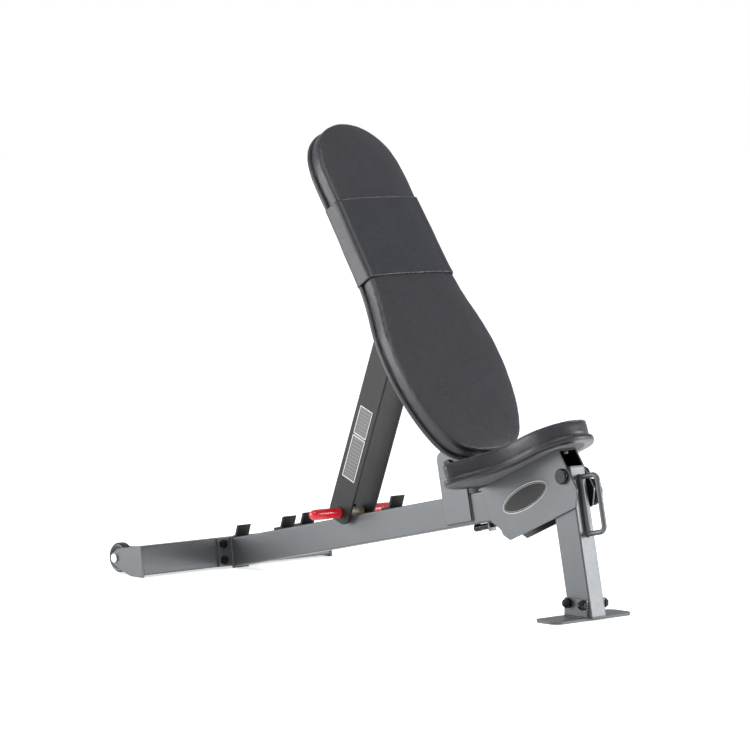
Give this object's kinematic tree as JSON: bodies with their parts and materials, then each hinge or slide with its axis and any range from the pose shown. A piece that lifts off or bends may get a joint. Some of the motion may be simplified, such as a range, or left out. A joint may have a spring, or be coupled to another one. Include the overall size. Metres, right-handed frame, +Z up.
{
  "type": "adjustable weight bench",
  "caption": "Adjustable weight bench with a sloping beam, a hinged back on a prop brace, a tilting seat, an end stabiliser with wheels and a lift handle.",
  "frame": {"origin": "on the floor, at the foot plate's underside, where the front leg's centre line meets it", "axes": "+X forward, from the wheels towards the front foot; +Y to the sitter's left; +Z up"},
  "size_m": [1.1854, 0.528, 0.9333],
  "materials": {
    "frame_paint": "satin",
    "dark_paint": "satin",
    "black_steel": "satin",
    "zinc_steel": "satin",
    "black_plastic": "matte",
    "wheel_plastic": "satin",
    "plywood": "matte",
    "vinyl": "satin",
    "band_vinyl": "satin",
    "red_grip": "satin",
    "khaki_nylon": "satin",
    "badge": "gloss",
    "label": "matte"
  },
  "bodies": {
    "frame": {"main_beam": "frame_paint", "rod_hooks": "dark_paint", "pivot_ear_left": "frame_paint", "pivot_ear_right": "frame_paint", "rear_crossbar": "frame_paint", "rear_flange": "frame_paint", "flange_bolts": "black_steel", "flange_nuts": "zinc_steel", "end_plate_left": "frame_paint", "end_plate_right": "frame_paint", "wheel_axles": "zinc_steel", "wheel_nuts": "zinc_steel", "front_leg": "frame_paint", "leg_top_plug": "black_plastic", "leg_foot_plug": "black_plastic", "foot_plate": "frame_paint", "foot_ear_left": "frame_paint", "foot_ear_right": "frame_paint", "foot_bolts": "black_steel", "foot_cap_nuts": "black_steel", "front_handle": "frame_paint", "stop_tab": "frame_paint", "stop_bolt": "black_steel", "back_hinge_bolt": "black_steel", "back_hinge_nut": "black_steel", "seat_hinge_bolt": "black_steel", "seat_hinge_cap": "black_steel"},
    "wheel_left": {"wheel_left": "wheel_plastic"},
    "wheel_right": {"wheel_right": "wheel_plastic"},
    "seat": {"seat_bracket": "frame_paint", "seat_bushes": "black_plastic", "seat_badge_left": "badge", "seat_badge_right": "badge", "seat_board": "plywood", "seat_pad": "vinyl", "seat_screws": "zinc_steel", "clamp_boss": "frame_paint"},
    "clamp": {"clamp_stud": "zinc_steel", "clamp_knob": "black_plastic"},
    "back": {"back_spine": "frame_paint", "spine_plug": "black_plastic", "back_hinge_bush": "zinc_steel", "brace_hinge_bush": "zinc_steel", "back_crossbars": "frame_paint", "back_screws": "zinc_steel", "back_board": "plywood", "back_pad": "vinyl", "head_band": "band_vinyl"},
    "brace": {"brace_leg_left": "dark_paint", "brace_leg_right": "dark_paint", "brace_label": "label", "cross_rod": "dark_paint", "grip_left": "red_grip", "grip_right": "red_grip", "brace_hinge_bolt": "black_steel", "brace_hinge_nut": "black_steel", "brace_spacers": "zinc_steel"},
    "sleeve": {"rod_sleeve": "khaki_nylon"}
  },
  "joints": [
    {"name": "back_tilt", "type": "hinge", "parent": "frame", "child": "back", "pos_m": [-0.3534, 0, 0.26778], "axis": [0, 1, 0], "range_deg": [-55.3, 0]},
    {"name": "brace_swing", "type": "hinge", "parent": "back", "child": "brace", "pos_m": [-0.52589, 0, 0.51689], "axis": [0, 1, 0], "range_deg": [0, 110.6]},
    {"name": "sleeve_turn", "type": "hinge", "parent": "brace", "child": "sleeve", "pos_m": [-0.66866, 0, 0.1474], "axis": [0, 1, 0], "continuous": true},
    {"name": "seat_tilt", "type": "hinge", "parent": "frame", "child": "seat", "pos_m": [-0.04433, 0, 0.26916], "axis": [0, 1, 0], "range_deg": [0, 23.8]},
    {"name": "clamp_turn", "type": "hinge", "parent": "seat", "child": "clamp", "pos_m": [-0.02982, 0.045, 0.23647], "axis": [0, 1, 0], "range_deg": [-360, 0]},
    {"name": "wheel_left_spin", "type": "hinge", "parent": "frame", "child": "wheel_left", "pos_m": [-1.10818, 0.243, 0.033], "axis": [0, 1, 0], "continuous": true},
    {"name": "wheel_right_spin", "type": "hinge", "parent": "frame", "child": "wheel_right", "pos_m": [-1.10818, -0.243, 0.033], "axis": [0, 1, 0], "continuous": true}
  ],
  "couplings": [
    {"joint": "brace_swing", "follows": "back_tilt", "ratio": -2},
    {"joint": "seat_tilt", "follows": "back_tilt", "ratio": -0.43038}
  ]
}
